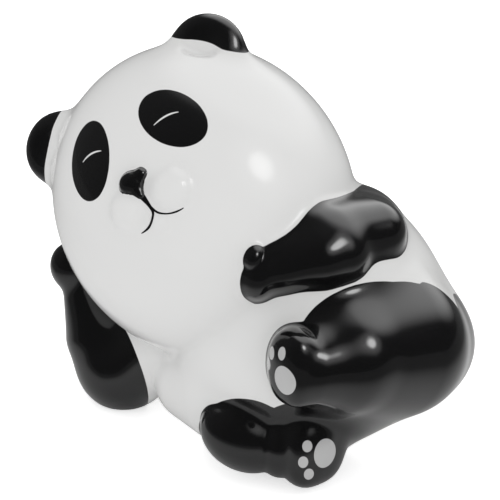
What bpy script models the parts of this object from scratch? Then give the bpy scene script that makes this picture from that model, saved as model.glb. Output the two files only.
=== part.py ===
"""A reclining panda, cast in one piece and glazed: a table figurine.

The figure leans back and rolls onto its right side, with the right elbow on the table and the
hand at the cheek. The left arm crosses the belly, and both soles face forwards. It rests on the
flats of its pelvis, right elbow and right leg. Metres, +Z up, seen from the front along +Y.
"""

import math

import bmesh
import bpy
import numpy as np
from mathutils import Matrix, Vector

# The driving size: the longest side, from the right ear to the left thigh, along X.
LENGTH = 0.150

# The figure is drawn this many units long, so a unit is close to a millimetre. Every place and
# radius below is in these units and keeps its share of LENGTH.
DRAWN_LENGTH = 150.4
UNIT = LENGTH / DRAWN_LENGTH

# How the shell is meshed, in drawing units, and how many triangles the solid may have.
SHELL_STEP = 1.5
TRIANGLES = 8400
RELAXING_ROUNDS = 3
SETTLING_STEPS = 4

# How the slope of a distance is read, and how near the table a point counts as on it.
PROBE = 0.05
LEAST_STEEPNESS = 0.25
CUT_TOLERANCE = 0.02

# The head and the trunk share one lean: turned to the right, looking up, rolled to the right.
TURN, LIFT, ROLL = 22.0, 28.0, 42.0
HEAD = np.array([-15.0, 8.5, 74.0])
UPRIGHT = np.eye(3)

# A fillet begins where two forms are this share of its width apart.
FILLET_REACH = 1.5
TINY = 1e-6

# Where the soles look, and how the feet are set up behind them.
LEFT_SOLE = (-0.743, -0.567, 0.355)
RIGHT_SOLE = (0.656, -0.700, 0.280)
TOES_UP = (0.0, 0.2, 1.0)


def unit(vector):
    vector = np.asarray(vector, float)
    return vector / np.linalg.norm(vector)


def axes(along, facing):
    """Three columns: along, across and, as nearly as square axes allow, facing."""
    along = unit(along)
    across = unit(np.cross(facing, along))
    return np.stack([along, across, np.cross(along, across)], axis=1)


def leaning_axes():
    """Three columns: the panda's left, its back and its crown."""
    turn, lift, roll = (math.radians(angle) for angle in (TURN, LIFT, ROLL))
    face = np.array([-math.sin(turn) * math.cos(lift), -math.cos(turn) * math.cos(lift), math.sin(lift)])
    level = np.array([math.cos(turn), -math.sin(turn), 0.0])
    left = math.cos(roll) * level + math.sin(roll) * np.cross(level, -face)
    return np.stack([left, -face, np.cross(left, -face)], axis=1)


LEAN = leaning_axes()


def on_head(left, back, up):
    """A place measured from the middle of the head along its own axes."""
    return HEAD + LEAN @ np.array([left, back, up], float)


class Egg:
    """A ball stretched to three radii. Squareness over 2 fills out its flanks."""

    def __init__(self, centre, radii, turned=UPRIGHT, squareness=2.0):
        self.centre = np.asarray(centre, float)
        self.radii = np.asarray(radii, float)
        self.turned = turned
        self.squareness = squareness

    def distance(self, points):
        """How far the points are outside, close to the surface."""
        power = self.squareness
        shares = np.abs((points - self.centre) @ self.turned) / self.radii
        size = (shares**power).sum(-1) ** (1 / power) + TINY
        slope = np.sqrt(((shares ** (power - 1) / self.radii) ** 2).sum(-1)) + TINY
        return (size - 1) * size ** (power - 1) / slope

    def fill(self, bm):
        """Adds a plain ball of this place and size to a bmesh, in metres."""
        stretch = Matrix((self.turned * self.radii * UNIT).tolist()).to_4x4()
        place = Matrix.Translation(Vector(self.centre * UNIT))
        bmesh.ops.create_icosphere(bm, subdivisions=3, radius=1, matrix=place @ stretch)


class Limb:
    """A round limb that tapers evenly between two balls."""

    BALLS = 8

    def __init__(self, start, end, start_radius, end_radius):
        self.start = np.asarray(start, float)
        run = np.asarray(end, float) - self.start
        self.length = np.linalg.norm(run)
        self.direction = run / self.length
        self.start_radius = start_radius
        self.growth = end_radius - start_radius
        slope = self.growth / self.length
        self.flare = slope / math.sqrt(1 - slope**2)

    def distance(self, points):
        """How far the points are outside. Flare makes the flank touch both balls smoothly."""
        offset = points - self.start
        forward = offset @ self.direction
        aside = np.sqrt(np.maximum((offset**2).sum(-1) - forward**2, 0))
        share = np.clip((forward + self.flare * aside) / self.length, 0, 1)
        return np.hypot(forward - share * self.length, aside) - self.start_radius - self.growth * share

    def fill(self, bm):
        """Adds a row of balls along the limb to a bmesh, in metres."""
        for share in np.linspace(0, 1, self.BALLS):
            centre = self.start + share * self.length * self.direction
            place = Matrix.Translation(Vector(centre * UNIT))
            radius = (self.start_radius + share * self.growth) * UNIT
            bmesh.ops.create_icosphere(bm, subdivisions=3, radius=radius, matrix=place)


def head():
    """The round head with its two cheeks, the chin, and the nose that runs down between them."""
    masses = [(0, Egg(HEAD, (49.5, 50, 54), LEAN))]
    for side in (-1, 1):
        masses.append((2.5, Egg(on_head(side * 7.8, -45.8, 0), (7.9, 6.4, 7.8), LEAN)))
    masses.append((1.5, Egg(on_head(0, -46.5, -6.6), (4.5, 4.6, 4), LEAN)))
    masses.append((0.8, Egg(on_head(-0.6, -50.2, 8.8), (4.8, 3.8, 4), LEAN)))
    masses.append((0.8, Limb(on_head(-0.6, -50.6, 7), on_head(-0.2, -50.8, 3.2), 2.6, 1)))
    return masses


# How far each ear's middle stands aside of the head's middle and above it, along the lean.
EAR_PLACES = {-1: (-33.2, 41.2), 1: (31.2, 41.2)}


def ear_axes(side):
    outwards = LEAN @ np.array([side * 0.62, -0.08, 0.78])
    forwards = LEAN @ np.array([0, -1, 0])
    return axes(outwards, forwards)


def ear(side):
    """A thick round ear that stands out of the crown and faces forwards."""
    aside, up = EAR_PLACES[side]
    return [(0, Egg(on_head(aside, -10.5, up), (10, 11.8, 5.8), ear_axes(side)))]


def ear_cup(side):
    """The hollow in the front of an ear, a little further out than the ear's middle."""
    aside, up = EAR_PLACES[side]
    return Egg(on_head(aside + 1.3 * side, -19.4, up + 1.4), (6.4, 7.6, 4.6), ear_axes(side))


def trunk():
    """Chest and belly on the head's lean, a broad pelvis, the right flank and a short tail."""
    return [
        (0, Egg((17.5, -5, 40), (45.5, 47, 46), LEAN)),
        (10, Egg((20.7, 0, 33), (45.9, 42.5, 39))),
        (6, Limb((-17, -13, 17), (-6, -20.5, 19), 15.5, 19.5)),
        (3, Egg((51, 25, 14), (9, 9, 8.5))),
    ]


def left_leg():
    """A heavy thigh, the shin in front of it and an upright foot."""
    return [
        (0, Egg((48.6, -15, 33), (26.4, 24, 22.5))),
        (3, Limb((49, -22.6, 37), (32, -43.9, 47.5), 22.9, 15.5)),
        (3, Limb((32, -43.9, 47.5), (20, -53.6, 50.4), 15.5, 11.2)),
        (2.5, Egg((13.9, -57.5, 52.5), (12.4, 8.4, 6.5), axes(TOES_UP, LEFT_SOLE), 2.6)),
    ]


def left_arm():
    """Shoulder, upper arm and forearm across the belly, with the thumb on top of the hand."""
    return [
        (0, Egg((37, 0.5, 67.5), (13, 14.5, 13.5))),
        (4, Limb((38, -9, 72.6), (24.2, -26.0, 79.8), 12.6, 11)),
        (4, Limb((41, -15.4, 77.8), (24.2, -28.4, 79.4), 9.8, 10.6)),
        (4, Limb((24.2, -28.4, 79.4), (9.0, -34.6, 76.6), 10.6, 8.4)),
        (4, Limb((27.0, -33.6, 78.4), (3.8, -39.2, 75.6), 7.5, 5.8)),
        (2, Egg((4.0, -38.2, 75.4), (8.6, 5.4, 7.6), axes((0.35, 0.42, 0.83), (-0.1, -0.86, 0.5)), 2.2)),
        (0.7, Egg((1.4, -40.9, 82.3), (3.3, 2.3, 2.8), axes((0.25, 0.5, 0.8), (-0.2, -0.85, 0.5)))),
    ]


def right_arm():
    """The forearm from the cheek to the elbow, the upper arm, and the web that fills their bend."""
    return [
        (0, Limb((-58.5, 10, 42), (-53.5, 5, 22.5), 5.6, 9.8)),
        (3, Egg((-61.6, 11.5, 46.6), (6.6, 7.5, 8))),
        (8, Egg((-43.8, 2.7, 11.4), (15.8, 15, 14.5))),
        (5, Limb((-43.5, 1.5, 11.5), (-20, -7, 20.5), 14, 15)),
        (6, Limb((-44, 10, 23), (-30, 12, 31), 12.5, 14)),
    ]


def right_leg():
    """The folded thigh, the foot in front of it and the shin going back under the hip."""
    return [
        (0, Egg((-1.7, -42.5, 14.8), (15.4, 11.6, 11.6), axes((0.85, 0, -0.5), (0, -0.85, 0.53)))),
        (1.2, Egg((10.0, -47.6, 12.8), (7.8, 7.4, 9.8))),
        (1.5, Egg((20.4, -47.8, 13.2), (12.2, 11.4, 6.5), axes(TOES_UP, RIGHT_SOLE), 2.7)),
        (4, Limb((18, -43, 14), (34, -22, 14.5), 11.5, 10.5)),
    ]


# Places with fine carving, and how far round each one the skin is meshed twice as finely.
FINE_PLACES = ((on_head(0, -50, 2), 17.0), (np.array([1.4, -40.9, 82.3]), 6.5))

# Each member with the fillet between it and those before it, in drawing units.
MEMBERS = {
    "head": (0, head()),
    "trunk": (4, trunk()),
    "left leg": (9, left_leg()),
    "right ear": (8, ear(-1)),
    "left ear": (8, ear(1)),
    "left arm": (5, left_arm()),
    "right arm": (2.5, right_arm()),
    "right leg": (4, right_leg()),
}
EAR_CUPS = (ear_cup(-1), ear_cup(1))
EAR_CUP_EDGE = 2.0
DARK_MEMBERS = ("left leg", "right ear", "left ear", "left arm", "right arm", "right leg")


def join(first, second, fillet):
    """The distance to two forms together, with a soft fillet a quarter of the given width deep."""
    reach = max(FILLET_REACH * fillet, TINY)
    nearness = np.clip(1 - np.abs(first - second) / reach, 0, 1)
    return np.minimum(first, second) - reach * nearness**3 / 6


def joined(parts):
    """The distance to a row of (fillet, distance) taken one after the other."""
    (_, total), *rest = parts
    for fillet, distance in rest:
        total = join(total, distance, fillet)
    return total


def member_distance(name, points):
    return joined([(fillet, mass.distance(points)) for fillet, mass in MEMBERS[name][1]])


def figure_distance(points):
    """How far the points are outside the whole figure, with the ears hollowed."""
    total = joined([(MEMBERS[name][0], member_distance(name, points)) for name in MEMBERS])
    for cup in EAR_CUPS:
        total = -join(-total, cup.distance(points), EAR_CUP_EDGE)
    return total


def settle(bm):
    """Moves every vertex onto the figure's surface, along the slope of its distance."""
    points = np.array([vert.co for vert in bm.verts]) / UNIT
    for _ in range(SETTLING_STEPS):
        slopes = [
            figure_distance(points + PROBE * axis) - figure_distance(points - PROBE * axis)
            for axis in np.eye(3)
        ]
        slope = np.stack(slopes, axis=-1) / (2 * PROBE)
        steepness = np.maximum((slope**2).sum(-1), LEAST_STEEPNESS)
        points = points - (figure_distance(points) / steepness)[:, None] * slope
    for vert, point in zip(bm.verts, points * UNIT):
        vert.co = point


def with_modifier(mesh, kind, **settings):
    """The mesh after one modifier."""
    holder = bpy.data.objects.new("shaping", mesh)
    bpy.context.scene.collection.objects.link(holder)
    modifier = holder.modifiers.new(kind.title(), kind)
    for name, value in settings.items():
        setattr(modifier, name, value)
    shaped = bpy.data.meshes.new_from_object(holder.evaluated_get(bpy.context.evaluated_depsgraph_get()))
    bpy.data.objects.remove(holder)
    return shaped


def shell():
    """Balls and limbs merged into one skin and settled on the figure's true surface."""
    bm = bmesh.new()
    for _, masses in MEMBERS.values():
        for _, mass in masses:
            mass.fill(bm)
    mesh = bpy.data.meshes.new("masses")
    bm.to_mesh(mesh)
    bm.free()
    mesh = with_modifier(mesh, "REMESH", mode="VOXEL", voxel_size=SHELL_STEP * UNIT)
    bm = bmesh.new()
    bm.from_mesh(mesh)
    bmesh.ops.triangulate(bm, faces=bm.faces)
    settle(bm)
    for _ in range(RELAXING_ROUNDS):
        bmesh.ops.smooth_vert(
            bm, verts=bm.verts, factor=0.5, use_axis_x=True, use_axis_y=True, use_axis_z=True
        )
        settle(bm)
    share = min(1.0, TRIANGLES / len(bm.faces))
    bm.to_mesh(mesh)
    bm.free()
    mesh = with_modifier(mesh, "DECIMATE", ratio=share)
    bm = bmesh.new()
    bm.from_mesh(mesh)
    refine(bm)
    settle(bm)
    return bm


def refine(bm):
    """Halves the edges round the finest carving."""
    for place, reach in FINE_PLACES:
        place = Vector(place * UNIT)
        near = [
            edge for edge in bm.edges if all((vert.co - place).length < reach * UNIT for vert in edge.verts)
        ]
        bmesh.ops.subdivide_edges(bm, edges=near, cuts=1, use_grid_fill=True)
    bmesh.ops.triangulate(bm, faces=[face for face in bm.faces if len(face.verts) > 3])


def cut_underside(bm):
    """Cuts the figure flat where it stands and closes the cut."""
    everything = bm.verts[:] + bm.edges[:] + bm.faces[:]
    tolerance = CUT_TOLERANCE * UNIT
    bmesh.ops.bisect_plane(
        bm, geom=everything, dist=tolerance, plane_co=(0, 0, 0), plane_no=(0, 0, -1), clear_outer=True
    )
    rims = [edge for edge in bm.edges if edge.is_boundary]
    for vert in {vert for edge in rims for vert in edge.verts}:
        vert.co.z = 0
    filled = bmesh.ops.triangle_fill(bm, use_beauty=True, use_dissolve=False, edges=rims)
    soles = [face for face in filled["geom"] if isinstance(face, bmesh.types.BMFace)]
    bmesh.ops.triangulate(bm, faces=soles)
    bmesh.ops.recalc_face_normals(bm, faces=bm.faces)


def centre_footprint(bm):
    """Puts the origin under the middle of the figure, at the height of the table."""
    corners = np.array([vert.co for vert in bm.verts])
    middle = (corners.min(axis=0) + corners.max(axis=0)) / 2
    bmesh.ops.translate(bm, verts=bm.verts, vec=(-middle[0], -middle[1], 0))
    return middle


def glaze(name, colour, roughness):
    material = bpy.data.materials.new(name)
    material.use_nodes = True
    shader = material.node_tree.nodes["Principled BSDF"]
    shader.inputs["Base Color"].default_value = (*colour, 1)
    shader.inputs["Roughness"].default_value = roughness
    shader.inputs["Metallic"].default_value = 0
    return material


def paint_dark_members(bm, shift):
    """Gives the second glaze to the faces that lie on an ear, an arm or a leg."""
    middles = np.array([face.calc_center_median() for face in bm.faces])
    middles = (middles + (shift[0], shift[1], 0)) / UNIT
    nearest = np.argmin([member_distance(name, middles) for name in MEMBERS], axis=0)
    dark = {index for index, name in enumerate(MEMBERS) if name in DARK_MEMBERS}
    for face, member in zip(bm.faces, nearest):
        face.material_index = int(member in dark)


def panda_figurine():
    bm = shell()
    cut_underside(bm)
    shift = centre_footprint(bm)
    paint_dark_members(bm, shift)
    mesh = bpy.data.meshes.new("panda_figurine")
    bm.to_mesh(mesh)
    bm.free()
    mesh.shade_smooth()
    mesh.materials.append(glaze("white_glaze", (0.80, 0.80, 0.79), 0.12))
    mesh.materials.append(glaze("black_glaze", (0.012, 0.012, 0.013), 0.10))
    figurine = bpy.data.objects.new("panda_figurine", mesh)
    bpy.context.scene.collection.objects.link(figurine)
    return figurine


for startup_object in list(bpy.data.objects):
    bpy.data.objects.remove(startup_object)
panda_figurine()
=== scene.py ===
"""A reclining panda figurine in slip-cast ceramic, with white and black glaze and brushed details.

The figure repeats the solid's own masses, with small changes to the face, arms and legs, and meshes
them far more finely, so that the folds between them stay clear. Most of the paint is worked out from
the same masses, so its edges follow real forms. Places and radii are in drawing units, close to a
millimetre, and become metres through UNIT.
"""

import math

import bmesh
import bpy
import numpy as np
from mathutils import Matrix, Vector


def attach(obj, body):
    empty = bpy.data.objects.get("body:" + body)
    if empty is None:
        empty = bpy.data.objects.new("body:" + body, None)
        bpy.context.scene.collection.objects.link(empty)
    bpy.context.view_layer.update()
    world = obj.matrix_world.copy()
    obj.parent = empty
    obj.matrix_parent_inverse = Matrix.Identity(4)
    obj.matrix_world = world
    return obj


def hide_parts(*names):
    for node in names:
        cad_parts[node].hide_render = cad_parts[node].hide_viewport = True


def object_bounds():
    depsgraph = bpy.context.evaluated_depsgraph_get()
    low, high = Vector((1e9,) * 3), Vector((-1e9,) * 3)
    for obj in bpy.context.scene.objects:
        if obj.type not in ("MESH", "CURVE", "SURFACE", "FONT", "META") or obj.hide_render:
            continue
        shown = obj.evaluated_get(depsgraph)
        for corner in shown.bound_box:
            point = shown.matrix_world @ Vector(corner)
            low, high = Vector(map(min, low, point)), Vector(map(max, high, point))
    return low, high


bl_info = {
    "name": "Reclining panda figurine",
    "version": (1, 0, 0),
    "blender": (4, 5, 0),
    "location": "View3D > Sidebar > Figurine",
    "description": "Models, glazes and stages a reclining panda in cast ceramic",
    "category": "Add Mesh",
}

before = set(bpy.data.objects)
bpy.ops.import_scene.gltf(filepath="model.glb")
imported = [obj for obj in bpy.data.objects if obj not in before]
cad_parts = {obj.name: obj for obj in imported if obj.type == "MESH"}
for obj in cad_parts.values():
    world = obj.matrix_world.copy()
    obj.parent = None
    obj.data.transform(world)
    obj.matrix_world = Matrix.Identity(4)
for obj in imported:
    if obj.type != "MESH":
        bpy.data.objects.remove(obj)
CAD_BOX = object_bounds()
NODE = "panda_figurine"

# The figure is drawn this many units long, and the solid's own length gives the unit.
DRAWN_LENGTH = 150.4
UNIT = (CAD_BOX[1].x - CAD_BOX[0].x) / DRAWN_LENGTH

# The head and the trunk share one lean: turned to the right, looking up, rolled to the right.
TURN, LIFT, ROLL = 22.0, 28.0, 42.0
HEAD = np.array([-15.0, 8.5, 74.0])
UPRIGHT = np.eye(3)

# A fillet begins where two forms are this share of its width apart.
FILLET_REACH = 1.5
# Keeps divisions away from nothing.
TINY = 1e-6
# How finely the balls under the skin are divided.
BALL_SUBDIVISIONS = 3

# Where the soles look, and how the feet are set up behind them.
LEFT_SOLE = (-0.743, -0.567, 0.355)
RIGHT_SOLE = (0.656, -0.700, 0.280)
TOES_UP = (0.0, 0.2, 1.0)


def unit(vector):
    vector = np.asarray(vector, float)
    return vector / np.linalg.norm(vector)


def axes(along, facing):
    """Three columns: along, across and, as nearly as square axes allow, facing."""
    along = unit(along)
    across = unit(np.cross(facing, along))
    return np.stack([along, across, np.cross(along, across)], axis=1)


def leaning_axes():
    """Three columns: the panda's left, its back and its crown."""
    turn, lift, roll = (math.radians(angle) for angle in (TURN, LIFT, ROLL))
    face = np.array([-math.sin(turn) * math.cos(lift), -math.cos(turn) * math.cos(lift), math.sin(lift)])
    level = np.array([math.cos(turn), -math.sin(turn), 0.0])
    left = math.cos(roll) * level + math.sin(roll) * np.cross(level, -face)
    return np.stack([left, -face, np.cross(left, -face)], axis=1)


LEAN = leaning_axes()


def on_head(left, back, up):
    """A place measured from the middle of the head along its own axes."""
    return HEAD + LEAN @ np.array([left, back, up], float)


class Egg:
    """A ball stretched to three radii. Squareness over 2 fills out its flanks."""

    def __init__(self, centre, radii, turned=UPRIGHT, squareness=2.0):
        self.centre = np.asarray(centre, float)
        self.radii = np.asarray(radii, float)
        self.turned = turned
        self.squareness = squareness

    def distance(self, points):
        """How far the points are outside, close to the surface."""
        power = self.squareness
        shares = np.abs((points - self.centre) @ self.turned) / self.radii
        size = (shares**power).sum(-1) ** (1 / power) + TINY
        slope = np.sqrt(((shares ** (power - 1) / self.radii) ** 2).sum(-1)) + TINY
        return (size - 1) * size ** (power - 1) / slope

    def fill(self, bm):
        """Adds a plain ball of this place and size to a bmesh, in metres."""
        stretch = Matrix((self.turned * self.radii * UNIT).tolist()).to_4x4()
        place = Matrix.Translation(Vector(self.centre * UNIT))
        bmesh.ops.create_icosphere(bm, subdivisions=BALL_SUBDIVISIONS, radius=1, matrix=place @ stretch)


class Limb:
    """A round limb that tapers evenly between two balls."""

    # How many balls stand in for it under the skin.
    BALLS = 8

    def __init__(self, start, end, start_radius, end_radius):
        self.start = np.asarray(start, float)
        run = np.asarray(end, float) - self.start
        self.length = np.linalg.norm(run)
        self.direction = run / self.length
        self.start_radius = start_radius
        self.growth = end_radius - start_radius
        slope = self.growth / self.length
        self.flare = slope / math.sqrt(1 - slope**2)

    def distance(self, points):
        """How far the points are outside. Flare makes the flank touch both balls smoothly."""
        offset = points - self.start
        forward = offset @ self.direction
        aside = np.sqrt(np.maximum((offset**2).sum(-1) - forward**2, 0))
        share = np.clip((forward + self.flare * aside) / self.length, 0, 1)
        return np.hypot(forward - share * self.length, aside) - self.start_radius - self.growth * share

    def fill(self, bm):
        """Adds a row of balls along the limb to a bmesh, in metres."""
        for share in np.linspace(0, 1, self.BALLS):
            centre = self.start + share * self.length * self.direction
            place = Matrix.Translation(Vector(centre * UNIT))
            radius = (self.start_radius + share * self.growth) * UNIT
            bmesh.ops.create_icosphere(bm, subdivisions=BALL_SUBDIVISIONS, radius=radius, matrix=place)


# How far each cheek's middle stands aside of the head's middle and above it, along the lean.
CHEEK_PLACES = ((-6.8, 1.4), (7.6, 0.2))


def nose():
    """A round button, a lobe that rises from it and a ridge that runs down between the cheeks."""
    return [
        (0, Egg(on_head(-2.1, -49.1, 8.3), (4.1, 3.5, 3.8), LEAN)),
        (0.8, Limb(on_head(-0.5, -48.6, 8.2), on_head(2.2, -49.1, 9.2), 2.9, 2.0)),
        (0.8, Limb(on_head(-1.5, -49.1, 6.4), on_head(-0.9, -50.5, 3.4), 2.6, 1.0)),
    ]


def head():
    """The round head with its two cheeks, the chin and the nose."""
    masses = [(0, Egg(HEAD, (49.5, 50, 54), LEAN))]
    for aside, up in CHEEK_PLACES:
        masses.append((1.6, Egg(on_head(aside, -46, up), (7.6, 6.6, 7.6), LEAN)))
    masses.append((1.2, Egg(on_head(0, -46.5, -6.6), (4.5, 4.6, 4), LEAN)))
    return masses + [(0.8, mass) for _, mass in nose()]


# How far each ear's middle stands aside of the head's middle and above it, along the lean.
EAR_PLACES = {-1: (-33.2, 41.2), 1: (31.2, 41.2)}


def ear_axes(side):
    """Three columns for an ear: out of the crown, across the ear and forwards."""
    outwards = LEAN @ np.array([side * 0.62, -0.08, 0.78])
    forwards = LEAN @ np.array([0, -1, 0])
    return axes(outwards, forwards)


def ear(side):
    """A thick round ear that stands out of the crown and faces forwards."""
    aside, up = EAR_PLACES[side]
    return [(0, Egg(on_head(aside, -10.5, up), (10, 11.8, 5.8), ear_axes(side)))]


def ear_cup(side):
    """The hollow in the front of an ear, a little further out than the ear's middle."""
    aside, up = EAR_PLACES[side]
    return Egg(on_head(aside + 1.3 * side, -19.4, up + 1.4), (6.4, 7.6, 4.6), ear_axes(side))


def trunk():
    """Chest and belly on the head's lean, a broad pelvis, the right flank and a short tail."""
    return [
        (0, Egg((17.5, -5, 40), (45.5, 47, 46), LEAN)),
        (10, Egg((20.7, 0, 33), (45.9, 42.5, 39))),
        (6, Limb((-17, -13, 17), (-6, -20.5, 19), 15.5, 19.5)),
        (3, Egg((51, 25, 14), (9, 9, 8.5))),
    ]


def left_leg():
    """A heavy thigh, the shin in front of it and an upright foot."""
    return [
        (0, Egg((48.6, -15, 33), (26.4, 24, 22.5))),
        (3, Limb((49, -25, 38.6), (32, -43.6, 47.2), 22.9, 17.2)),
        (2, Limb((32, -43.6, 47.2), (20, -53.4, 50.2), 17.2, 12)),
        (2.5, Egg((13.9, -57.5, 52.5), (12.4, 8.4, 6.5), axes(TOES_UP, LEFT_SOLE), 2.6)),
    ]


def left_arm():
    """Shoulder, upper arm and forearm across the belly, with the thumb on top of the hand."""
    return [
        (0, Egg((37, 0.5, 67.5), (13, 14.5, 13.5))),
        (4, Limb((38, -9, 73.2), (24.2, -25.4, 79.6), 12.2, 11)),
        (4, Limb((40.5, -16.5, 77.2), (24.2, -27, 79.2), 9.7, 10.2)),
        (4, Limb((24.2, -27, 79.2), (9.0, -34.6, 76.9), 10.2, 8.3)),
        (4, Limb((29, -31, 77.8), (22, -34.1, 78.2), 8.2, 8)),
        (4, Limb((22, -34.1, 78.2), (3.8, -39.2, 75.6), 8, 5.8)),
        (2, Egg((4.0, -38.2, 75.4), (8.6, 5.4, 7.6), axes((0.35, 0.42, 0.83), (-0.1, -0.86, 0.5)), 2.2)),
        (0.7, Egg((1.4, -40.9, 82.3), (3.3, 2.3, 2.8), axes((0.25, 0.5, 0.8), (-0.2, -0.85, 0.5)))),
    ]


def right_arm():
    """The forearm from the cheek to the elbow, the upper arm, and the web that fills their bend."""
    return [
        (0, Limb((-58.5, 10, 42), (-53.5, 5, 22.5), 5.6, 9.8)),
        (3, Egg((-61.6, 11.5, 46.6), (6.6, 7.5, 8))),
        (8, Egg((-43.8, 2.7, 11.4), (15.8, 15, 14.5))),
        (5, Limb((-43.5, 1.5, 11.5), (-27, -3, 25), 14, 13.5)),
        (6, Limb((-44, 10, 23), (-30, 12, 31), 12.5, 14)),
    ]


def right_leg():
    """The folded thigh, the foot in front of it and the shin going back under the hip."""
    return [
        (0, Egg((-1.7, -42.5, 14.8), (15.4, 11.6, 11.6), axes((0.85, 0, -0.5), (0, -0.85, 0.53)))),
        (1.2, Egg((10.0, -47.6, 12.8), (7.8, 7.4, 9.8))),
        (1.5, Egg((20.4, -47.8, 13.2), (12.2, 11.4, 6.5), axes(TOES_UP, RIGHT_SOLE), 2.7)),
        (4, Limb((18, -43, 14), (34, -22, 14.5), 11.5, 10.5)),
    ]


# Each member with the fillet between it and those before it.
MEMBERS = {
    "head": (0, head()),
    "trunk": (2.5, trunk()),
    "left leg": (9, left_leg()),
    "right ear": (8, ear(-1)),
    "left ear": (8, ear(1)),
    "left arm": (5, left_arm()),
    "right arm": (1.5, right_arm()),
    "right leg": (4, right_leg()),
}
EAR_CUPS = (ear_cup(-1), ear_cup(1))
# How soft the rims of the ears' hollows and of the flat underside are.
EAR_CUP_EDGE = 2.0
FOOTING_EDGE = 1.0


def join(first, second, fillet):
    """The distance to two forms together, with a soft fillet a quarter of the given width deep."""
    reach = max(FILLET_REACH * fillet, TINY)
    nearness = np.clip(1 - np.abs(first - second) / reach, 0, 1)
    return np.minimum(first, second) - reach * nearness**3 / 6


def joined(parts):
    """The distance to a row of (fillet, distance) taken one after the other."""
    (_, total), *rest = parts
    for fillet, distance in rest:
        total = join(total, distance, fillet)
    return total


def member_distance(name, points):
    return joined([(fillet, mass.distance(points)) for fillet, mass in MEMBERS[name][1]])


def all_distances(points):
    return {name: member_distance(name, points) for name in MEMBERS}


def figure_distance(points):
    """How far the points are outside the whole figure, with the ears hollowed and the base flat."""
    distances = all_distances(points)
    total = joined([(MEMBERS[name][0], distances[name]) for name in MEMBERS])
    for cup in EAR_CUPS:
        total = -join(-total, cup.distance(points), EAR_CUP_EDGE)
    return -join(-total, points[..., 2], FOOTING_EDGE)


# Paint. Every field from here on is a depth inside the paint's edge, in drawing units.

# Three columns: to the right, up and towards the camera.
FACING_FRONT = axes((1, 0, 0), (0, -0.85, 0.53))
# The depth that stands for well outside the paint.
OUTSIDE = -9.0
# How far behind its plane a spot still marks the surface.
SPOT_REACH = 12
# How far in front of the head's middle the surface has to be to take the face's marks.
FACE_FRONT = 20


class Oval:
    """An oval spot on a plane through a place, with its own axes on the figure."""

    def __init__(self, centre, half_length, half_width, turned, tilt=0.0):
        self.centre = np.asarray(centre, float)
        self.half_length = half_length
        self.half_width = half_width
        self.turned = turned
        self.tilt = math.radians(tilt)

    def depth(self, points):
        """The length runs on the first axis, turned by the tilt."""
        along, across, facing = ((points - self.centre) @ self.turned).T
        length = along * math.cos(self.tilt) + across * math.sin(self.tilt)
        width = across * math.cos(self.tilt) - along * math.sin(self.tilt)
        size = np.hypot(length / self.half_length, width / self.half_width)
        depth = (1 - size) * min(self.half_length, self.half_width)
        return np.minimum(depth, facing + SPOT_REACH)


def face_axes():
    """Three columns for marks on the face: up, to its right, and out of the face."""
    left, back, up = LEAN.T
    return np.stack([up, left, -back], axis=1)


def eye_patches():
    """The two black ovals round the eyes, each with its own tilt."""
    return [
        Oval(on_head(-12.8, -40, 23.2), 12.9, 8.3, face_axes(), 25),
        Oval(on_head(17.8, -40, 20.2), 12.6, 7.8, face_axes(), -30),
    ]


def stroke_depth(stroke, points):
    """The depth inside a line drawn on the face, whose width changes from place to place."""
    places, widths = stroke
    flat = ((points - HEAD) @ LEAN)[:, (0, 2)]
    best = np.full(len(points), OUTSIDE)
    for start, end, start_width, end_width in zip(places, places[1:], widths, widths[1:]):
        run = end - start
        share = np.clip(((flat - start) @ run) / (run @ run), 0, 1)
        gap = np.linalg.norm(flat - start - share[:, None] * run, axis=1)
        best = np.maximum(best, (start_width + (end_width - start_width) * share) / 2 - gap)
    front = ((points - HEAD) @ LEAN)[:, 1] < -FACE_FRONT
    return np.where(front, best, OUTSIDE)


def smooth_run(places, steps=8):
    """The places with a smooth curve through them."""
    places = np.array(places, float)
    first = 3 * places[0] - 3 * places[1] + places[2]
    last = 3 * places[-1] - 3 * places[-2] + places[-3]
    ends = np.vstack([first, places, last])
    run = []
    for before, start, end, after in zip(ends, ends[1:], ends[2:], ends[3:]):
        for share in np.arange(steps) / steps:
            run.append(
                0.5
                * (
                    2 * start
                    + (end - before) * share
                    + (2 * before - 5 * start + 4 * end - after) * share**2
                    + (3 * start - before - 3 * end + after) * share**3
                )
            )
    run.append(places[-1])
    return np.array(run)


# The mouth's two curves and the closed eyes, as (left, up) from the head's middle, and their widths.
MOUTH = (
    ((-0.8, 4.2), (-0.5, 2.2), (-0.1, -1.0), (-0.3, -3.5), (-1.9, -5.5), (-4.3, -6.5), (-7.2, -6.7)),
    ((-0.1, 0.6), (0.1, -1.8), (1.3, -4.2), (3.6, -6.0), (6.2, -6.9), (8.8, -7.1)),
)
MOUTH_WIDTHS = ((2.0, 1.7, 1.1, 0.9, 0.95, 0.8, 0.3), (1.0, 0.9, 0.65, 0.55, 0.6, 0.3))
EYE_ARCS = (((-15.4, 24.3), (-11.3, 24.8), (-7.3, 23.5)), ((12.3, 21.0), (16.6, 21.7), (20.3, 20.9)))
EYE_ARC_WIDTHS = (0.25, 0.6, 0.25)


def strokes(runs, widths):
    """Smooth strokes through (left, up, width) at each place."""
    made = []
    for run, wide in zip(runs, widths):
        smooth = smooth_run([(*place, width) for place, width in zip(run, wide)])
        made.append((smooth[:, :2], smooth[:, 2]))
    return made


MOUTH_STROKES = strokes(MOUTH, MOUTH_WIDTHS)
EYE_STROKES = strokes(EYE_ARCS, (EYE_ARC_WIDTHS, EYE_ARC_WIDTHS))
# How far the nose's black runs on round its foot.
NOSE_BRIM = 0.3


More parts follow.
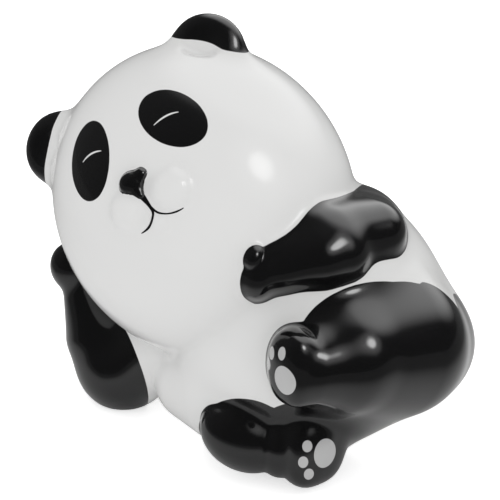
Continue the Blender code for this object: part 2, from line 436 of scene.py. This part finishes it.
def paw_pads():
    """The spots on flat soles: all of the left foot's, and the large one of the right foot's."""
    spots = []
    for (place, outwards), sole, places in (
        (LEFT_PADS_MIDDLE, LEFT_SOLE, LEFT_PADS),
        (RIGHT_PADS_MIDDLE, RIGHT_SOLE, RIGHT_PADS),
    ):
        turned = axes(TOES_UP, sole)
        middle = np.array(place) + outwards * unit(sole)
        for along, across, half_length, half_width, tilt in places:
            centre = middle + turned @ np.array([along, across, 0])
            spots.append(Oval(centre, half_length, half_width, turned, tilt))
    return spots


# The middle of each sole's pads: a place in the foot and how far out it lies from there.
LEFT_PADS_MIDDLE = ((16.6, -57, 51.8), 9)
RIGHT_PADS_MIDDLE = ((19, -46.6, 12.6), 9.5)
# Pads: place along and across the sole, half length, half width and tilt in degrees.
LEFT_PADS = (
    (-3.2, -1.0, 4.8, 4.2, 0),
    (5.2, 0.6, 2.1, 1.6, 0),
    (3.7, 5.6, 2.1, 1.6, 0),
    (-0.5, 7.5, 2.1, 1.8, 0),
)
RIGHT_PADS = ((0.6, 0.9, 5.2, 4.4, 14),)
# The right foot's toes: their places on the figure and one size, seen from the front.
RIGHT_TOES = ((18.4, -55.5, 20.4), (17.1, -57.2, 15.3), (19.0, -57.1, 10.4))
TOE_RADII = (1.65, 1.95, 5.0)
# How far past an ear's own form its black still covers the surface.
EAR_BLACK_REACH = 2
# Black that runs on past the right thigh and between the feet, over the belly.
BLACK_SPILLS = (
    Egg((-2.3, -51.2, 19.7), (16.1, 13.6, 45), FACING_FRONT),
    Egg((26, -46.5, 23.4), (22.5, 9.2, 45), FACING_FRONT),
    Egg((41.9, -45.8, 50.6), (28.5, 22.3, 60), FACING_FRONT),
    Egg((43.6, -29.9, 40.5), (29.6, 23.6, 45), FACING_FRONT),
)
# How far the black runs over the left leg and the right arm.
LEFT_LEG_BLACK = (
    Limb((12, -57, 52), (45.9, -30.8, 39), 18, 26.7),
    Egg((50, -20, 34), (30.5, 24, 22)),
    Egg((50, -12, 29), (28, 24, 22)),
)
RIGHT_ARM_BLACK = (
    Egg((-63.7, -19.5, 6), (29.5, 42.4, 45), FACING_FRONT),
    Egg((-64, 12, 48), (14, 20, 22)),
)
# The white that runs up into the root of each ear.
EAR_BARE = {
    "right ear": Egg(HEAD + (0, 0, 2), (52.7, 53.2, 57.2), LEAN),
    "left ear": Egg(HEAD + (-3, 0, 0), (52.1, 52.6, 56.6), LEAN),
}
EYE_PATCHES = eye_patches()
PAW_PADS = paw_pads()


def black_depth(points, distances):
    """How far inside black paint the points are. Half the gap between two forms is such a depth."""
    rest = np.minimum(distances["head"], distances["trunk"])
    depths = []
    for name, bare in EAR_BARE.items():
        on_ear = EAR_BLACK_REACH - distances[name]
        depths.append(np.minimum(bare.distance(points), on_ear))
    for name in ("left arm", "right leg"):
        depths.append((rest - distances[name]) / 2)
    for name, bounds in (("right arm", RIGHT_ARM_BLACK), ("left leg", LEFT_LEG_BLACK)):
        inside = np.max([-bound.distance(points) for bound in bounds], axis=0)
        depths.append(np.minimum((rest - distances[name]) / 2, inside))
    depths.extend(-spill.distance(points) for spill in BLACK_SPILLS)
    depths.extend(patch.depth(points) for patch in EYE_PATCHES)
    depths.append(NOSE_BRIM - joined([(fillet, mass.distance(points)) for fillet, mass in nose()]))
    depths.extend(stroke_depth(stroke, points) for stroke in MOUTH_STROKES)
    return np.max(depths, axis=0)


def eye_line_depth(points):
    return np.max([stroke_depth(stroke, points) for stroke in EYE_STROKES], axis=0)


def pad_depth(points):
    depths = [spot.depth(points) for spot in PAW_PADS]
    depths += [-Egg(place, TOE_RADII, FACING_FRONT).distance(points) for place in RIGHT_TOES]
    return np.max(depths, axis=0)


def crease_depth(distances):
    """How deep the points lie in a fillet, where the white glaze is darkened as a painted shade."""
    return np.min(list(distances.values()), axis=0)


# Meshing. The slope is read this far round a point, and is never taken as flatter than the least.
PROBE = 0.06
LEAST_STEEPNESS = 0.25
# How often the first skin and the refined one are moved onto the surface.
FIRST_SETTLING = 4
LAST_SETTLING = 2
# How far from the edges of small marks each round of refining reaches.
REFINING_REACHES = (2.4, 1.0, 0.5)
PROBES = PROBE * np.array([(1, 1, 1), (1, -1, -1), (-1, 1, -1), (-1, -1, 1)], float)


def steepest(points):
    """The distance at each point and its slope, from four readings round it."""
    readings = np.stack([figure_distance(points + probe) for probe in PROBES], axis=-1)
    return readings.mean(axis=-1), readings @ PROBES / (4 * PROBE**2)


def drawn_places(bm):
    return np.array([vert.co for vert in bm.verts]) / UNIT


def settle(bm, steps):
    """Moves every vertex onto the figure's surface, along the slope of its distance."""
    points = drawn_places(bm)
    for _ in range(steps):
        height, slope = steepest(points)
        points = points - (height / np.maximum((slope**2).sum(-1), LEAST_STEEPNESS))[:, None] * slope
    for vert, point in zip(bm.verts, points * UNIT):
        vert.co = point


def relax(bm):
    """Moves every vertex halfway to the middle of its neighbours."""
    bmesh.ops.smooth_vert(
        bm, verts=bm.verts, factor=0.5, use_axis_x=True, use_axis_y=True, use_axis_z=True
    )


def remeshed(bm, step):
    """The bmesh's masses merged into one closed skin of even faces."""
    mesh = bpy.data.meshes.new("masses")
    bm.to_mesh(mesh)
    holder = bpy.data.objects.new("masses", mesh)
    bpy.context.scene.collection.objects.link(holder)
    modifier = holder.modifiers.new("Skin", "REMESH")
    modifier.mode = "VOXEL"
    modifier.voxel_size = step
    skin = bpy.data.meshes.new_from_object(holder.evaluated_get(bpy.context.evaluated_depsgraph_get()))
    bpy.data.objects.remove(holder)
    bpy.data.meshes.remove(mesh)
    bm.clear()
    bm.from_mesh(skin)
    bpy.data.meshes.remove(skin)
    bmesh.ops.triangulate(bm, faces=bm.faces)


def fine_field(points):
    """How near the points are to an edge of the smallest painted marks."""
    marks = [np.abs(stroke_depth(stroke, points)) for stroke in MOUTH_STROKES + EYE_STROKES]
    marks.append(np.abs(pad_depth(points)))
    return np.min(marks, axis=0)


def refine(bm, reach):
    """Halves the edges near the smallest marks."""
    near = fine_field(drawn_places(bm)) < reach
    for vert, close in zip(bm.verts, near):
        vert.tag = bool(close)
    edges = [edge for edge in bm.edges if edge.verts[0].tag and edge.verts[1].tag]
    bmesh.ops.subdivide_edges(bm, edges=edges, cuts=1, use_grid_fill=True)
    bmesh.ops.triangulate(bm, faces=[face for face in bm.faces if len(face.verts) > 3])


def new_mesh_object(name, bm):
    mesh = bpy.data.meshes.new(name)
    bm.to_mesh(mesh)
    bm.free()
    made = bpy.data.objects.new(name, mesh)
    bpy.context.scene.collection.objects.link(made)
    return made


def keep_field(mesh, name, values):
    mesh.attributes.new(name, "FLOAT", "POINT").data.foreach_set("value", np.asarray(values, np.float32))


def model_figurine(sizes):
    """The finished figurine, with its paint kept as fields, and how far it was moved to the middle."""
    bm = bmesh.new()
    for _, masses in MEMBERS.values():
        for _, mass in masses:
            mass.fill(bm)
    remeshed(bm, sizes.skin_step)
    settle(bm, FIRST_SETTLING)
    for _ in range(sizes.relaxing_rounds):
        relax(bm)
        settle(bm, 1)
    for reach in REFINING_REACHES:
        refine(bm, reach)
    settle(bm, LAST_SETTLING)
    bmesh.ops.recalc_face_normals(bm, faces=bm.faces)
    points = drawn_places(bm)
    middle = (points.min(axis=0) + points.max(axis=0)) / 2
    shift = Vector((-middle[0] * UNIT, -middle[1] * UNIT, 0))
    bmesh.ops.translate(bm, verts=bm.verts, vec=shift)
    figurine = new_mesh_object("panda_glazed", bm)
    mesh = figurine.data
    distances = all_distances(points)
    keep_field(mesh, "black", black_depth(points, distances))
    keep_field(mesh, "eye_line", eye_line_depth(points))
    keep_field(mesh, "pad", pad_depth(points))
    keep_field(mesh, "crease", crease_depth(distances))
    _, slope = steepest(points)
    slope /= np.linalg.norm(slope, axis=1, keepdims=True)
    mesh.shade_smooth()
    mesh.normals_split_custom_set_from_vertices(slope.tolist())
    return figurine, shift


def attribute(tree, name):
    node = tree.nodes.new("ShaderNodeAttribute")
    node.attribute_name = name
    return node.outputs["Fac"]


def maths(tree, operation, *values):
    node = tree.nodes.new("ShaderNodeMath")
    node.operation = operation
    for socket, value in zip(node.inputs, values):
        if isinstance(value, (int, float)):
            socket.default_value = value
        else:
            tree.links.new(value, socket)
    return node.outputs[0]


def eased(tree, value, low, high, first, last):
    """A value carried smoothly from first to last while it climbs from low to high."""
    node = tree.nodes.new("ShaderNodeMapRange")
    node.interpolation_type = "SMOOTHSTEP"
    tree.links.new(value, node.inputs["Value"])
    for name, number in (("From Min", low), ("From Max", high), ("To Min", first), ("To Max", last)):
        node.inputs[name].default_value = number
    return node.outputs["Result"]


def brushed_edge_group():
    """A mask with a soft, slightly unsteady edge from a depth inside the paint."""
    group = bpy.data.node_groups.new("Brushed edge", "ShaderNodeTree")
    for name, default in (("Depth", 0.0), ("Softness", 0.1), ("Unsteadiness", 0.1)):
        socket = group.interface.new_socket(name=name, in_out="INPUT", socket_type="NodeSocketFloat")
        socket.default_value = default
    group.interface.new_socket(name="Mask", in_out="OUTPUT", socket_type="NodeSocketFloat")
    given = group.nodes.new("NodeGroupInput").outputs
    out = group.nodes.new("NodeGroupOutput")
    place = group.nodes.new("ShaderNodeTexCoord").outputs["Object"]
    noise = group.nodes.new("ShaderNodeTexNoise")
    noise.inputs["Scale"].default_value = BRUSH_SCALE
    noise.inputs["Detail"].default_value = BRUSH_DETAIL
    group.links.new(place, noise.inputs["Vector"])
    centred = maths(group, "SUBTRACT", noise.outputs["Fac"], 0.5)
    sway = maths(group, "MULTIPLY", centred, given["Unsteadiness"])
    depth = maths(group, "ADD", given["Depth"], sway)
    rise = group.nodes.new("ShaderNodeMapRange")
    rise.interpolation_type = "SMOOTHSTEP"
    group.links.new(depth, rise.inputs["Value"])
    group.links.new(maths(group, "MULTIPLY", given["Softness"], -0.5), rise.inputs["From Min"])
    group.links.new(maths(group, "MULTIPLY", given["Softness"], 0.5), rise.inputs["From Max"])
    group.links.new(rise.outputs["Result"], out.inputs["Mask"])
    return group


def mixed(tree, mask, first, second):
    """One colour over another by a mask."""
    node = tree.nodes.new("ShaderNodeMix")
    node.data_type = "RGBA"
    colours = [socket for socket in node.inputs if socket.type == "RGBA"]
    tree.links.new(mask, node.inputs["Factor"])
    for socket, colour in zip(colours, (first, second)):
        if isinstance(colour, bpy.types.NodeSocket):
            tree.links.new(colour, socket)
        else:
            socket.default_value = (*colour, 1)
    return next(socket for socket in node.outputs if socket.type == "RGBA")


# Softness and unsteadiness of each brushed edge, in drawing units.
BLACK_EDGE = (0.16, 0.15)
PAD_EDGE = (0.14, 0.05)
LINE_EDGE = (0.10, 0.05)
# How often the brush sways and the gloss changes, per metre, and how finely the brush does.
BRUSH_SCALE = 260
BRUSH_DETAIL = 2
CLOUD_SCALE = 90
# How far the roughness wanders either way.
GLOSS_VARIATION = 0.03
# How fast the painted shade in the creases darkens the white with the depth of a crease, and its most.
CREASE_SHADING = 0.3
MOST_CREASE_SHADING = 0.35
GLAZE_IOR = 1.5
WHITE_SPECULAR = 0.25


def glazed_ceramic(colours):
    """White glaze, darkened in the creases with a painted shade, with brushed black and grey, and a clear
    coat over the black.
    """
    material = bpy.data.materials.new("Glazed ceramic")
    material.use_nodes = True
    tree = material.node_tree
    shader = tree.nodes["Principled BSDF"]
    edge = brushed_edge_group()

    def brushed(name, softness, unsteadiness):
        node = tree.nodes.new("ShaderNodeGroup")
        node.node_tree = edge
        tree.links.new(attribute(tree, name), node.inputs["Depth"])
        node.inputs["Softness"].default_value = softness
        node.inputs["Unsteadiness"].default_value = unsteadiness
        return node.outputs["Mask"]

    black = brushed("black", *BLACK_EDGE)
    pad = brushed("pad", *PAD_EDGE)
    line = brushed("eye_line", *LINE_EDGE)
    # The white is mixed towards a grey in the creases: a painted shade that deepens with the crease.
    crease = maths(tree, "MULTIPLY", attribute(tree, "crease"), CREASE_SHADING)
    crease = maths(tree, "MINIMUM", crease, MOST_CREASE_SHADING)
    white = mixed(tree, crease, colours.white, colours.crease_shade)
    colour = mixed(tree, black, white, colours.black)
    colour = mixed(tree, pad, colour, colours.pad)
    colour = mixed(tree, line, colour, colours.white)
    tree.links.new(colour, shader.inputs["Base Color"])
    place = tree.nodes.new("ShaderNodeTexCoord").outputs["Object"]
    cloud = tree.nodes.new("ShaderNodeTexNoise")
    cloud.inputs["Scale"].default_value = CLOUD_SCALE
    tree.links.new(place, cloud.inputs["Vector"])
    spread = tree.nodes.new("ShaderNodeMapRange")
    tree.links.new(cloud.outputs["Fac"], spread.inputs["Value"])
    spread.inputs["To Min"].default_value = -GLOSS_VARIATION
    spread.inputs["To Max"].default_value = GLOSS_VARIATION
    gloss = eased(tree, black, 0.0, 1.0, colours.white_roughness, colours.black_roughness)
    tree.links.new(maths(tree, "ADD", gloss, spread.outputs["Result"]), shader.inputs["Roughness"])
    shader.inputs["IOR"].default_value = GLAZE_IOR
    shader.inputs["Specular IOR Level"].default_value = WHITE_SPECULAR
    tree.links.new(black, shader.inputs["Coat Weight"])
    shader.inputs["Coat Roughness"].default_value = colours.coat_roughness
    shader.inputs["Coat IOR"].default_value = GLAZE_IOR
    return material


class FigurineSizes(bpy.types.PropertyGroup):
    """How finely the figurine is meshed."""

    skin_step: bpy.props.FloatProperty(
        name="Skin step", description="Edge length of the skin's faces", default=0.00105, unit="LENGTH"
    )
    relaxing_rounds: bpy.props.IntProperty(
        name="Relaxing rounds", description="How often the skin is evened out and settled again", default=4
    )


class GlazeColours(bpy.types.PropertyGroup):
    """Colours and gloss of the glazes."""

    white: bpy.props.FloatVectorProperty(
        name="White glaze", description="Body colour", default=(0.72, 0.72, 0.715), subtype="COLOR"
    )
    # A darker white painted into the creases as shade.
    crease_shade: bpy.props.FloatVectorProperty(
        name="Painted crease shade",
        description="White glaze darkened in creases as painted shade",
        default=(0.60, 0.60, 0.59),
        subtype="COLOR",
    )
    black: bpy.props.FloatVectorProperty(
        name="Black glaze",
        description="Limbs, ears, eyes, nose and mouth",
        default=(0.004, 0.004, 0.0043),
        subtype="COLOR",
    )
    pad: bpy.props.FloatVectorProperty(
        name="Paw pads",
        description="Light spots on the soles",
        default=(0.45, 0.45, 0.45),
        subtype="COLOR",
    )
    white_roughness: bpy.props.FloatProperty(
        name="White roughness", description="How much the white glaze spreads a reflection", default=0.11
    )
    black_roughness: bpy.props.FloatProperty(
        name="Black roughness", description="How much the black glaze spreads a reflection", default=0.22
    )
    coat_roughness: bpy.props.FloatProperty(
        name="Coat roughness", description="How much the clear coat over the black spreads it", default=0.07
    )


class StudioSettings(bpy.types.PropertyGroup):
    """Light round the figurine."""

    fill_power: bpy.props.FloatProperty(
        name="Fill power",
        description="Power of the round softbox in front on the right",
        default=0.3,
        unit="POWER",
    )
    sky: bpy.props.FloatProperty(
        name="Sky", description="Brightness of the soft light all round", default=1.0
    )
    table_glow: bpy.props.FloatProperty(
        name="Table glow", description="Light that the table gives off itself", default=0.6
    )
    table_bounce: bpy.props.FloatProperty(
        name="Table bounce", description="Light that the table throws up on the figurine", default=0.15
    )
    room: bpy.props.FloatProperty(
        name="Room", description="How bright the dim room is that the glaze mirrors", default=0.028
    )
    screen: bpy.props.FloatProperty(
        name="Screen", description="How bright the screen behind on the right is in the glaze", default=1.7
    )
    halo: bpy.props.FloatProperty(
        name="Halo", description="Brightness of the lamp's soft rim in the glaze", default=0.9
    )
    lamp: bpy.props.FloatProperty(
        name="Lamp", description="Brightness of the lamp's middle in the glaze", default=6.0
    )


class FIGURINE_OT_panda(bpy.types.Operator):
    """Models and glazes the panda over its solid"""

    bl_idname = "figurine.panda"
    bl_label = "Glazed panda"

    def execute(self, context):
        figurine, shift = model_figurine(context.scene.figurine_sizes)
        context.scene["figurine_shift"] = list(shift)
        figurine.data.materials.append(glazed_ceramic(context.scene.glaze_colours))
        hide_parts(NODE)
        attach(figurine, "root")
        return {"FINISHED"}


# The camera, in drawing units: as far away as the picture's mild perspective says. Its lens and
# sensor are in millimetres.
CAMERA_ELEVATION = math.radians(32)
CAMERA_DISTANCE = 700.0
CAMERA_TARGET = (0.0, 0.0, 60.0)
CAMERA_LENS = 151.2
SENSOR = 36.0
# The nearest and farthest the camera sees, in metres.
CAMERA_RANGE = (0.02, 20)
# Where the softbox points, and its distance and width, in metres.
LIT_MIDDLE = (0, 0, 0.06)
FILL_DISTANCE = 0.9
FILL_WIDTH = 0.30


def point_at(made, target):
    made.rotation_euler = (Vector(target) - made.location).to_track_quat("-Z", "Y").to_euler()


def set_camera(shift):
    camera = bpy.data.cameras.new("Camera")
    camera.lens = CAMERA_LENS
    camera.sensor_width = SENSOR
    camera.clip_start, camera.clip_end = CAMERA_RANGE
    made = bpy.data.objects.new("Camera", camera)
    bpy.context.scene.collection.objects.link(made)
    target = Vector(CAMERA_TARGET) * UNIT + shift
    back = Vector((0, -math.cos(CAMERA_ELEVATION), math.sin(CAMERA_ELEVATION)))
    made.location = target + back * CAMERA_DISTANCE * UNIT
    made.rotation_euler = back.to_track_quat("Z", "Y").to_euler()
    bpy.context.scene.camera = made


def add_softbox(name, direction, distance, width, power):
    light = bpy.data.lights.new(name, "AREA")
    light.shape = "DISK"
    light.size = width
    light.energy = power
    made = bpy.data.objects.new(name, light)
    bpy.context.scene.collection.objects.link(made)
    middle = Vector(LIT_MIDDLE)
    made.location = middle + Vector(direction).normalized() * distance
    point_at(made, middle)


# The pale table's half width, and how far out the glaze mirrors it as bright and as dim, in metres.
TABLE_HALF_WIDTH = 4
TABLE_BRIGHT = 0.09
TABLE_DIM = 0.22
# How much of the mirrored table is dimmed in its middle and far out.
DIMMED_MIDDLE = 0.35
DIMMED_FAR = 0.9
TABLE_WHITE = (0.92, 0.92, 0.92)
TABLE_DARK = (0.02, 0.02, 0.02)
TABLE_ROUGHNESS = 0.9


def set_floor(glow, bounce):
    """A pale table. The glaze mirrors it as lit in the middle only, as a small light table is."""
    bm = bmesh.new()
    bmesh.ops.create_grid(bm, x_segments=1, y_segments=1, size=TABLE_HALF_WIDTH)
    floor = new_mesh_object("floor", bm)
    material = bpy.data.materials.new("Pale floor")
    material.use_nodes = True
    tree = material.node_tree
    shader = tree.nodes["Principled BSDF"]
    place = tree.nodes.new("ShaderNodeTexCoord").outputs["Object"]
    radius = tree.nodes.new("ShaderNodeVectorMath")
    radius.operation = "LENGTH"
    tree.links.new(place, radius.inputs[0])
    out = radius.outputs["Value"]
    dimming = eased(tree, out, TABLE_BRIGHT, TABLE_DIM, DIMMED_MIDDLE, DIMMED_FAR)
    rays = tree.nodes.new("ShaderNodeLightPath").outputs
    share = maths(tree, "MULTIPLY", dimming, rays["Is Glossy Ray"])
    shade = mixed(tree, share, TABLE_WHITE, TABLE_DARK)
    tree.links.new(shade, shader.inputs["Base Color"])
    shader.inputs["Emission Color"].default_value = (1, 1, 1, 1)
    seen = maths(tree, "MULTIPLY", rays["Is Camera Ray"], glow)
    cast = maths(tree, "MULTIPLY", rays["Is Diffuse Ray"], bounce)
    tree.links.new(maths(tree, "ADD", seen, cast), shader.inputs["Emission Strength"])
    shader.inputs["Roughness"].default_value = TABLE_ROUGHNESS
    shader.inputs["Specular IOR Level"].default_value = 0.0
    floor.data.materials.append(material)


# What the glaze mirrors: a round lamp in front on the right and a bright screen behind it.
LAMP = Vector((0.666, -0.297, 0.695)).normalized()
SCREEN = Vector((0.383, 0.663, 0.643)).normalized()
# The outer and inner angle, in degrees, between which the lamp's rim and its middle grow bright.
HALO_ANGLES = (26, 6)
CORE_ANGLES = (11, 4)
# The same for the screen, as the cosines of its angles.
SCREEN_COSINES = (0.70, 0.92)
# The brighter side of the dim room, how many times brighter it is, and the cosines between which
# it grows so.
ROOM_BRIGHT_SIDE = (-0.5, 0.8, 0.3)
ROOM_CONTRAST = 2.5
ROOM_EASING = (-0.4, 0.9)


def facing(tree, direction, towards):
    """How nearly a direction points towards a fixed one, from -1 to 1."""
    node = tree.nodes.new("ShaderNodeVectorMath")
    node.operation = "DOT_PRODUCT"
    tree.links.new(direction, node.inputs[0])
    node.inputs[1].default_value = towards
    return node.outputs["Value"]


def cosines(angles):
    return [math.cos(math.radians(angle)) for angle in angles]


def set_sky(settings):
    """Even white light from all round. The glaze mirrors a dim room with a lamp and a screen in it."""
    world = bpy.data.worlds.new("Studio")
    bpy.context.scene.world = world
    world.use_nodes = True
    tree = world.node_tree
    background = tree.nodes["Background"]
    direction = tree.nodes.new("ShaderNodeTexCoord").outputs["Generated"]
    screen = eased(tree, facing(tree, direction, SCREEN), *SCREEN_COSINES, 0.0, settings.screen)
    lamp = facing(tree, direction, LAMP)
    halo = eased(tree, lamp, *cosines(HALO_ANGLES), 0.0, settings.halo)
    core = eased(tree, lamp, *cosines(CORE_ANGLES), 0.0, settings.lamp)
    side = facing(tree, direction, ROOM_BRIGHT_SIDE)
    dim = eased(tree, side, *ROOM_EASING, settings.room, ROOM_CONTRAST * settings.room)
    room = maths(tree, "ADD", maths(tree, "ADD", screen, dim), maths(tree, "ADD", halo, core))
    mirrored = tree.nodes.new("ShaderNodeLightPath").outputs["Is Glossy Ray"]
    plain = maths(tree, "MULTIPLY", maths(tree, "SUBTRACT", 1.0, mirrored), settings.sky)
    seen = maths(tree, "MULTIPLY", room, mirrored)
    tree.links.new(maths(tree, "ADD", plain, seen), background.inputs["Strength"])
    background.inputs["Color"].default_value = (1, 1, 1, 1)


class FIGURINE_OT_studio(bpy.types.Operator):
    """Sets a pale floor, soft light and the camera"""

    bl_idname = "figurine.studio"
    bl_label = "Studio"

    def execute(self, context):
        settings = context.scene.studio_settings
        context.scene.view_settings.view_transform = "Standard"
        set_floor(settings.table_glow, settings.table_bounce)
        set_sky(settings)
        add_softbox("Fill", LAMP, FILL_DISTANCE, FILL_WIDTH, settings.fill_power)
        set_camera(Vector(context.scene["figurine_shift"]))
        return {"FINISHED"}


class FIGURINE_PT_panel(bpy.types.Panel):
    """Lists the figurine's steps and settings"""

    bl_label = "Figurine"
    bl_space_type = "VIEW_3D"
    bl_region_type = "UI"
    bl_category = "Figurine"

    def draw(self, context):
        layout = self.layout
        scene = context.scene
        for group in (scene.figurine_sizes, scene.glaze_colours, scene.studio_settings):
            for name in group.bl_rna.properties.keys():
                if name not in ("rna_type", "name"):
                    layout.prop(group, name)
        layout.operator(FIGURINE_OT_panda.bl_idname)
        layout.operator(FIGURINE_OT_studio.bl_idname)


CLASSES = (
    FigurineSizes,
    GlazeColours,
    StudioSettings,
    FIGURINE_OT_panda,
    FIGURINE_OT_studio,
    FIGURINE_PT_panel,
)


def register():
    for made in CLASSES:
        bpy.utils.register_class(made)
    bpy.types.Scene.figurine_sizes = bpy.props.PointerProperty(type=FigurineSizes)
    bpy.types.Scene.glaze_colours = bpy.props.PointerProperty(type=GlazeColours)
    bpy.types.Scene.studio_settings = bpy.props.PointerProperty(type=StudioSettings)


def unregister():
    for name in ("figurine_sizes", "glaze_colours", "studio_settings"):
        delattr(bpy.types.Scene, name)
    for made in reversed(CLASSES):
        bpy.utils.unregister_class(made)


def main():
    register()
    bpy.ops.figurine.panda()
    bpy.ops.figurine.studio()


if __name__ == "__main__":
    main()
